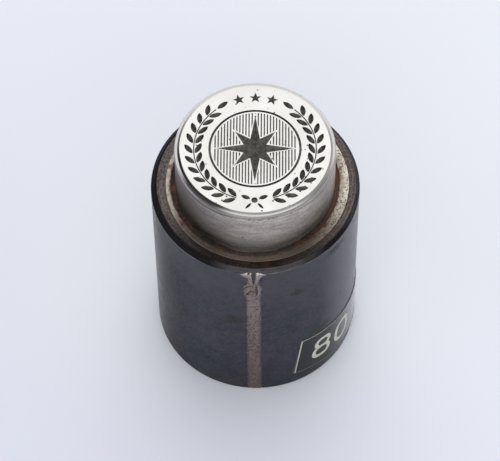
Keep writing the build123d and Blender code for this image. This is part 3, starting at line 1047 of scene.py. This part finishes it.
def seam_point(u, z):
    """Height over the sleeve's skin of one point of the strip, then its share of each seam mark."""
    away = u - seam_middle(z)
    edge = abs(away) / seam_edge(1 if away > 0 else -1, z)
    coarse = grain_at(u, z, 2.0, 3.4)
    grain = 0.03 * coarse + 0.018 * grain_at(u, z, 9.0, 8)
    along = u + path_waver * grain_at(u, z, 3.0, 1.6)
    upward = z + path_waver * grain_at(u, z, 8.0, 1.6)
    torn = fade(z, *torn_from)
    crumb = fade(noise.noise(Vector((u * 4.2, 4.0, z * 3.2))), *crumb_levels) * torn
    crumb *= 1 - fade(z, *crumbs_to)
    tear = nearness(tears, along, upward, tear_width) * torn * (1.05 + 0.4 * coarse)
    tear = min(1.0, max(tear, 0.6 * crumb))
    ridge = nearness(ridges, along, upward, ridge_width) * torn * (0.9 + 0.6 * coarse)
    sliver = nearness(slivers, u, z, sliver_width)
    crack = crack_share(u, z)
    intact = fade(z, *intact_from)
    if z > wing_height:
        intact = max(intact, fade(edge, 1.0, 1.1))
    rust = 1 - fade((Vector((u, z)) - rust_spot).length, 0.6 * rust_spot_radius, rust_spot_radius)

    height = (face_rise + grain - edge_drop * fade(edge, 0.9, 1.1)) * (1 - intact)
    height += ridge_rise * ridge + sliver_rise * sliver - tear_depth * tear - crack_depth * crack
    wing = 0.3 * fade(z, wing_height - 1.9, wing_height - 1.0)
    wing += 0.6 * fade(z, wing_height - 0.5, wing_height + 0.3)
    bare = max(wing * (1 + 0.6 * coarse), 0.36 * ridge, 0.8 * sliver * fade(z, *slivers_from))
    bare *= (1 - crack) * (1 - tear) * (1 - intact) * (1 - rust)
    dark = max(0.82 * crack, tear, intact)
    wall = fade(edge + 0.6 * coarse, 0.62 + 0.14 * fade(z, *soft_edge_from), 1.02)
    wall *= 1 - fade(z, wing_height - 1.8, wing_height - 1.2)
    return height, min(1.0, bare), dark, wall, rust


print(f"crack from {crack_foot:.1f} to {crack_head:.1f} mm, {len(tears)} tears, {len(ridges)} ridges")

# %% Weld seam: the mesh
seam_marks = ("bare", "dark", "wall", "rust")
seam_columns = 56
seam_step = 0.1
seam_back = ((1.2, sleeve_radius - 1.4), (0.66, seam_root_radius + 0.04))


def on_sleeve(u, radius, z):
    """Point at an arc length u from the seam's middle line, in metres."""
    turn = u / sleeve_radius
    return Vector((radius * math.sin(turn), -radius * math.cos(turn), z)) * MM


def strip_ends(z):
    """Left and right end of the mesh at a height: the strip with its margins, or the open seam."""
    if z > strip_top:
        return -open_half_width(z), open_half_width(z)
    left = seam_middle(z) - seam_edge(-1, z) - seam_margin
    right = seam_middle(z) + seam_edge(1, z) + seam_margin
    return min(left, -open_half_width(z)), max(right, open_half_width(z))


def weld_seam():
    shape = bmesh.new()
    layers = [shape.verts.layers.float.new(name) for name in seam_marks]
    rows = round(sleeve_height / seam_step)
    loops = []
    for row in range(rows + 1):
        z = sleeve_height * row / rows
        left, right = strip_ends(z)
        loop = []
        for column in range(seam_columns + 1):
            u = left + (right - left) * column / seam_columns
            height, *marks = seam_point(u, z)
            vertex = shape.verts.new(on_sleeve(u, surface_radius(z) + height, z))
            for layer, mark in zip(layers, marks):
                vertex[layer] = mark
            loop.append(vertex)
        for side in (1, -1):
            flank = seam_back if side > 0 else reversed(seam_back)
            loop += [shape.verts.new(on_sleeve(side * u, radius, z)) for u, radius in flank]
        loops.append(loop)
    count = len(loops[0])
    for lower, upper in zip(loops, loops[1:]):
        for place in range(count):
            following = (place + 1) % count
            shape.faces.new((lower[place], lower[following], upper[following], upper[place]))
    shape.faces.new(loops[0][::-1])
    shape.faces.new(loops[-1])
    bmesh.ops.recalc_face_normals(shape, faces=shape.faces)
    return shape


def add_piece(name, shape, material, body):
    """Turns a bmesh into an object of the scene that wears a material and rides on a body."""
    mesh = bpy.data.meshes.new(name)
    shape.to_mesh(mesh)
    shape.free()
    mesh.polygons.foreach_set("use_smooth", [True] * len(mesh.polygons))
    mesh.set_sharp_from_angle(angle=math.radians(45))
    mesh.materials.append(material)
    piece = bpy.data.objects.new(name, mesh)
    scene.collection.objects.link(piece)
    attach(piece, body)
    print(name, len(mesh.polygons), "faces on", body)
    return piece


# %% [markdown]
# The strip's finish reads the four attributes. Bare metal is pale and smooth, the crack is dark, the
# edges take the wall's slate, and the rest is the brown, grainy skin of ground weld with grains of a
# few tenths of a millimetre.

# %% Weld metal
weld_brown = (0.094, 0.066, 0.056)
weld_grey = (0.288, 0.236, 0.210)
weld_cap = (0.029, 0.024, 0.021)
weld_dark = (0.050, 0.037, 0.032)
weld_bare = (0.58, 0.535, 0.495)
weld_slate = (0.054, 0.056, 0.060)
weld_heights = {"pale": (22.0, 40.0), "grainy": (16.0, 42.0), "brown": (20.0, 5.0)}


def weld_metal():
    material, wires, shader = new_finish("weld_metal")
    [height] = wires.place("Height")
    bare, dark, wall, rust = (wires.attribute(name) for name in seam_marks)
    level = wires.ramp(height, *weld_heights["pale"], 0.5, 0.43)
    grain = wires.mask("blotches", Size=0.6, Level=level, Softness=0.08, Shift=59.0)
    grain = wires.between(wires.ramp(height, *weld_heights["grainy"], 0.4, 1.0), 0.5, grain)
    spots = wires.mask("specks", Spacing=0.6, Size=0.55, Share=0.35)
    cloud = wires.mask("blotches", Size=5.0, Level=0.5, Softness=0.2, Shift=61.0)
    above = wires.band(height, strip_top, sleeve_height + 1, 0.05)
    top = wires.band(height, sleeve_height - 0.02, sleeve_height + 1, 0.01)

    colour = wires.coats(
        wires.blend(grain, weld_brown, weld_grey),
        (weld_dark, spots, 0.6),
        (weld_brown, cloud, 0.35),
        (weld_grey, wires.ramp(height, *weld_heights["pale"], 0.0, 0.28)),
        (weld_brown, wires.ramp(height, *weld_heights["brown"], 0.0, 0.22)),
        (wall_violet, wall),
        (weld_bare, bare),
        (weld_slate, dark),
        (land_rust, rust),
        (bevel_slate, above),
        (weld_cap, top),
    )
    wires.feed(shader["Base Color"], colour)
    rough = wires.between(bare, wires.between(grain, 0.62, 0.5), 0.32)
    rough = wires.between(wall, rough, 0.4)
    wires.feed(shader["Roughness"], wires.between(top, rough, 0.3))
    metal = wires.between(wires.most(dark, wall), wires.between(bare, 0.55, 1.0), 0.0)
    wires.feed(shader["Metallic"], wires.between(top, metal, 0.95))
    shader["Specular IOR Level"].default_value = 0.06
    wires.feed(shader["Normal"], wires.bump(grain, 0.02))
    return material


seam = add_piece("weld_seam", weld_seam(), weld_metal(), "holder")
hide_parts("seam_weld")

# %% [markdown]
# ## Label tape
# A strip of dark glossy tape carries a plain number inside a thin pale frame. The tape itself is a
# solid of the frame and only needs its finish. The print is a set of flat ribbons. Each ribbon is drawn
# on the flat label, in millimetres along and up it, and then every point is wrapped round the sleeve in
# the same way as the tape.

# %% Label tape: wrapping a flat drawing
label_start_turn = 24.2
label_length = 32.0
label_start_height = 12.2
label_tilt = math.radians(7.0)
label_skin = sleeve_radius + 0.16
print_lift = 0.012
print_thickness = 0.02
no_wear = (0.0, 0.0)
half_wrap = label_length / 2 / sleeve_radius
label_middle_turn = math.radians(label_start_turn) + half_wrap
label_middle_height = label_start_height - sleeve_radius * math.sin(half_wrap) * math.tan(label_tilt)


def on_label(along, up, lift):
    """Point of the label's drawing, wrapped on the tape and raised a little, in metres."""
    chord = sleeve_radius * math.sin(along / sleeve_radius)
    sideways = chord * math.cos(label_tilt) + up * math.sin(label_tilt)
    turn = label_middle_turn + math.asin(sideways / sleeve_radius)
    z = label_middle_height - chord * math.sin(label_tilt) + up * math.cos(label_tilt)
    radius = label_skin + lift
    return Vector((radius * math.sin(turn), -radius * math.cos(turn), z)) * MM


def add_ribbon(shape, path, width, closed, wear=no_wear):
    """Flat ribbon along a path on the label, as a closed solid. Its ink wears from start to end."""
    layer = shape.verts.layers.float["wear"]
    sections = []
    count = len(path)
    for number, (along, up) in enumerate(path):
        before = path[number - 1] if closed or number else path[0]
        after = path[(number + 1) % count] if closed or number + 1 < count else path[-1]
        heading = (Vector(after) - Vector(before)).normalized()
        side = Vector((-heading.y, heading.x)) * width / 2
        corners = ((1, 0.0), (-1, 0.0), (-1, print_thickness), (1, print_thickness))
        section = [
            shape.verts.new(on_label(along + sign * side.x, up + sign * side.y, print_lift + lift))
            for sign, lift in corners
        ]
        for vertex in section:
            vertex[layer] = wear[0] + (wear[1] - wear[0]) * number / count
        sections.append(section)
    pairs = list(zip(sections, sections[1:]))
    if closed:
        pairs.append((sections[-1], sections[0]))
    else:
        shape.faces.new(sections[0][::-1])
        shape.faces.new(sections[-1])
    for first, second in pairs:
        for place in range(4):
            following = (place + 1) % 4
            shape.faces.new((first[place], first[following], second[following], second[place]))


def straight(start, end, pieces=40):
    """Points along a straight line on the label."""
    return [tuple(Vector(start).lerp(Vector(end), number / pieces)) for number in range(pieces + 1)]


print(f"label middle at {math.degrees(label_middle_turn):.1f} degrees, {label_middle_height:.2f} mm up")

# %% Label tape: frame and number
label_height = 15.0
frame_inset = 0.19
frame_line_inset = 0.2
frame_line = 0.18
frame_end_line = 0.36
frame_end_lean = 0.3
top_wear = (0.0, 1.3)
foot_wear = (0.72, 0.95)
end_wear = (0.35, 0.2)
digit_height = 8.6
digit_width = 5.9
digit_stroke = 1.15
first_digit_turn = 41.2
second_digit_turn = 58.6
eight_upper_share = 0.46
eight_upper_width = 0.88
nought_width = 1.06


def oval(middle, width, height, squareness=2.5, points=72):
    """Points of an upright oval, a little squarer than an ellipse."""
    path = []
    for number in range(points):
        angle = 2 * math.pi * number / points
        across, upward = math.cos(angle), math.sin(angle)
        x = math.copysign(abs(across) ** (2 / squareness), across) * width / 2
        y = math.copysign(abs(upward) ** (2 / squareness), upward) * height / 2
        path.append((middle[0] + x, middle[1] + y))
    return path


def along_label(turn):
    """Place along the label at a turn round the sleeve."""
    return (math.radians(turn) - label_middle_turn) * sleeve_radius


def label_print():
    shape = bmesh.new()
    shape.verts.layers.float.new("wear")
    reach = label_length / 2 - frame_inset
    rise = label_height / 2 - frame_line_inset
    top_left, top_right = (-reach, rise), (reach, rise)
    foot_left, foot_right = (frame_end_lean - reach, -rise), (reach, -rise)
    for start, end, width, wear in (
        (top_left, top_right, frame_line, top_wear),
        (foot_left, foot_right, frame_line, foot_wear),
        (foot_left, top_left, frame_end_line, end_wear),
        (foot_right, top_right, frame_end_line, no_wear),
    ):
        add_ribbon(shape, straight(start, end), width, False, wear)

    inner_width = digit_width - digit_stroke
    inner_height = digit_height - digit_stroke
    eight = along_label(first_digit_turn)
    nought = along_label(second_digit_turn)
    upper = eight_upper_share * inner_height
    lower = (1 - eight_upper_share) * inner_height
    waist = lower - inner_height / 2
    for middle, width, height in (
        ((eight, waist + upper / 2), eight_upper_width * inner_width, upper),
        ((eight, waist - lower / 2), inner_width, lower),
        ((nought, 0.0), nought_width * inner_width, inner_height),
    ):
        add_ribbon(shape, oval(middle, width, height), digit_stroke, True)
    bmesh.ops.recalc_face_normals(shape, faces=shape.faces)
    return shape


# %% [markdown]
# The tape is glossy plastic, so near its outline it mirrors the room. Its far end is painted paler, a
# painted reflection, and so is its cut side. Its print is a pale, slightly worn cream.

# %% Tape plastic and print
tape_dark = (0.006, 0.0075, 0.010)
tape_dusty = (0.014, 0.0155, 0.018)
tape_sheen = (0.26, 0.26, 0.278)
tape_side_sheen = (0.17, 0.172, 0.18)
print_cream = (0.60, 0.60, 0.49)
print_worn = (0.40, 0.40, 0.33)
print_gone = (0.085, 0.088, 0.085)
tape_sheen_turns = (44.0, 78.0)


def tape_plastic():
    material, wires, shader = new_finish("tape_plastic")
    radius, turn = wires.place("Radius", "Turn")
    dust = wires.mask("blotches", Size=2.5, Level=0.54, Softness=0.14, Shift=67.0)
    side = wires.band(radius, -1.0, label_skin - 0.03, 0.01)
    colour = wires.coats(
        wires.blend(dust, tape_dark, tape_dusty),
        # Painted reflection: the tape grows paler towards its far end.
        (tape_sheen, wires.ramp(turn, *tape_sheen_turns, 0.0, 0.9)),
        # Painted reflection: the tape's cut side is painted pale.
        (tape_side_sheen, side),
    )
    wires.feed(shader["Base Color"], colour)
    wires.feed(shader["Roughness"], wires.between(dust, 0.08, 0.16))
    shader["Specular IOR Level"].default_value = 0.14
    return material


def label_ink():
    material, wires, shader = new_finish("label_ink")
    wear = wires.mask("blotches", Size=0.8, Level=0.58, Softness=0.1, Shift=71.0)
    thin = wires.attribute("wear")
    colour = wires.blend(wear, print_cream, print_worn)
    wires.feed(shader["Base Color"], wires.blend(wires.ramp(thin, 0.0, 1.0), colour, print_gone))
    wires.feed(shader["Roughness"], wires.between(wear, 0.35, 0.5))
    return material


dress(tape_plastic(), "label_tape")
add_piece("label_print", label_print(), label_ink(), "holder")

# %% [markdown]
# ## Table and light
# The die stands on a pale table with a faint blue cast. Its paint carries painted light: it grows paler
# towards the back right, and near the die it is painted paler, least in front, which lightens the die's
# shadow. The table is clear from below and under the foot, so that the foot and the screw can be looked
# at too. The light is a soft studio dome: bright panels behind and above, which the polished face
# mirrors, others in front, and dim ones at the sides, which give the bevels their contrast. A dome has
# no falloff, so the table looks the same from every side. Each panel is one mask on the sky, built by a
# shared group.

# %% Table
table_size = 8.0
table_near = (0.775, 0.795, 0.915)
table_far = (0.89, 0.92, 0.998)
table_fade = 130.0
table_front = (0.868, 0.888, 1.0)
table_side = (0.94, 0.96, 1.0)
table_close_end = 85.0
table_close_share = 0.6
table_front_fade = (-5.0, 45.0)
table_fade_heading = (0.62, 0.78, 0.0)
table_front_heading = (0.0, -1.0, 0.0)


def table():
    shape = bmesh.new()
    bmesh.ops.create_grid(shape, x_segments=8, y_segments=8, size=table_size / 2)
    mesh = bpy.data.meshes.new("table")
    shape.to_mesh(mesh)
    shape.free()
    material, wires, shader = new_finish("table_paint")
    [spot] = wires.place("Spot")
    away = wires.vector("LENGTH", spot)
    along = wires.vector("DOT_PRODUCT", spot, table_fade_heading)
    # Painted light: the table grows paler towards the back right.
    colour = wires.blend(wires.ramp(along, -table_fade, table_fade), table_near, table_far)
    # Painted light near the die: paler, least in front, which lightens its shadow.
    close = wires.ramp(away, sleeve_radius, table_close_end, table_close_share, 0.0)
    forward = wires.vector("DOT_PRODUCT", spot, table_front_heading)
    nearby = wires.blend(wires.ramp(forward, *table_front_fade), table_side, table_front)
    wires.feed(shader["Base Color"], wires.blend(close, colour, nearby))
    shader["Roughness"].default_value = 0.9
    shader["Specular IOR Level"].default_value = 0.1
    hidden = wires.math("LESS_THAN", away, sleeve_radius - 2 * foot_chamfer)
    under = wires.most(hidden, wires.node("ShaderNodeNewGeometry").outputs["Backfacing"])
    paint = material.node_tree.nodes["Principled BSDF"].outputs[0]
    clear = wires.node("ShaderNodeBsdfTransparent").outputs[0]
    either = wires.node("ShaderNodeMixShader", {0: under, 1: paint, 2: clear}).outputs[0]
    wires.feed(material.node_tree.nodes["Material Output"].inputs["Surface"], either)
    mesh.materials.append(material)
    made = bpy.data.objects.new("table", mesh)
    scene.collection.objects.link(made)
    return made


print("table:", table().name, table_size, "m across")

# %% Light dome
dome_level = 0.10
# Each panel: its turn and rise in degrees, the angles where it is full and where it ends, its strength.
panels = {
    "overhead": (90, 90, 10, 45, 0.24),
    "back": (90, 58, 18, 40, 1.36),
    "low back": (90, 12, 14, 42, 1.08),
    "high front": (-90, 60, 10, 40, 0.40),
    "low front": (-90, 25, 14, 40, 1.03),
    "right": (8, 30, 15, 40, 0.39),
    "left": (182, 28, 15, 36, 0.37),
    "right back": (42, 24, 10, 30, 0.37),
    "left front": (-145, 40, 12, 36, 0.48),
    "right front": (-35, 40, 12, 36, 0.47),
    "below": (0, -90, 55, 85, 0.60),
}


def make_panel_group():
    inputs = {"Turn": 0.0, "Rise": 45.0, "Inner": 20.0, "Outer": 40.0}
    wires, entry, leaving = new_group("sky_panel", inputs, {"Mask": "Float"})
    sight = wires.vector("NORMALIZE", wires.node("ShaderNodeTexCoord").outputs["Generated"])
    turn, rise = wires.math("RADIANS", entry["Turn"]), wires.math("RADIANS", entry["Rise"])
    flat = wires.math("COSINE", rise)
    aim = {
        "X": wires.times(flat, wires.math("COSINE", turn)),
        "Y": wires.times(flat, wires.math("SINE", turn)),
        "Z": wires.math("SINE", rise),
    }
    cosine = wires.vector("DOT_PRODUCT", sight, wires.node("ShaderNodeCombineXYZ", aim).outputs[0])
    outer = wires.math("COSINE", wires.math("RADIANS", entry["Outer"]))
    inner = wires.math("COSINE", wires.math("RADIANS", entry["Inner"]))
    wires.feed(leaving["Mask"], wires.ramp(cosine, outer, inner))


def light_dome():
    make_panel_group()
    world = bpy.data.worlds.new("studio_dome")
    world.use_nodes = True
    wires = Wires(world.node_tree)
    level = dome_level
    for turn, rise, inner, outer, strength in panels.values():
        mask = wires.mask("sky_panel", Turn=turn, Rise=rise, Inner=inner, Outer=outer)
        level = wires.raised(level, mask, strength)
    wires.feed(world.node_tree.nodes["Background"].inputs["Strength"], level)
    world.node_tree.nodes["Background"].inputs["Color"].default_value = (1.0, 1.0, 1.0, 1.0)
    scene.world = world
    return world


print("dome:", light_dome().name, "with", len(panels), "panels")

# %% [markdown]
# ## Camera
# The picture was taken from about 58 degrees above the table with a long lens, so the sides hardly
# converge. The place, the aim and the small roll come from fitting the three round edges that the
# picture shows.

# %% Camera
camera_spot = Vector((5.015, -338.01, 579.288)) * MM
camera_aim = Vector((-1.41, 0.504, 34.493)) * MM
camera_roll = math.radians(-0.694)
camera_lens = 187.55
camera_sensor = 36.0
camera_near = 10 * MM


def camera():
    lens = bpy.data.cameras.new("camera")
    lens.lens = camera_lens
    lens.sensor_width = camera_sensor
    lens.clip_start = camera_near
    made = bpy.data.objects.new("camera", lens)
    made.location = camera_spot
    sight = (camera_aim - camera_spot).to_track_quat("-Z", "Y")
    made.rotation_euler = (sight @ Quaternion((0, 0, 1), camera_roll)).to_euler()
    scene.collection.objects.link(made)
    scene.camera = made
    return made


print("camera at", [round(value, 4) for value in camera().location])
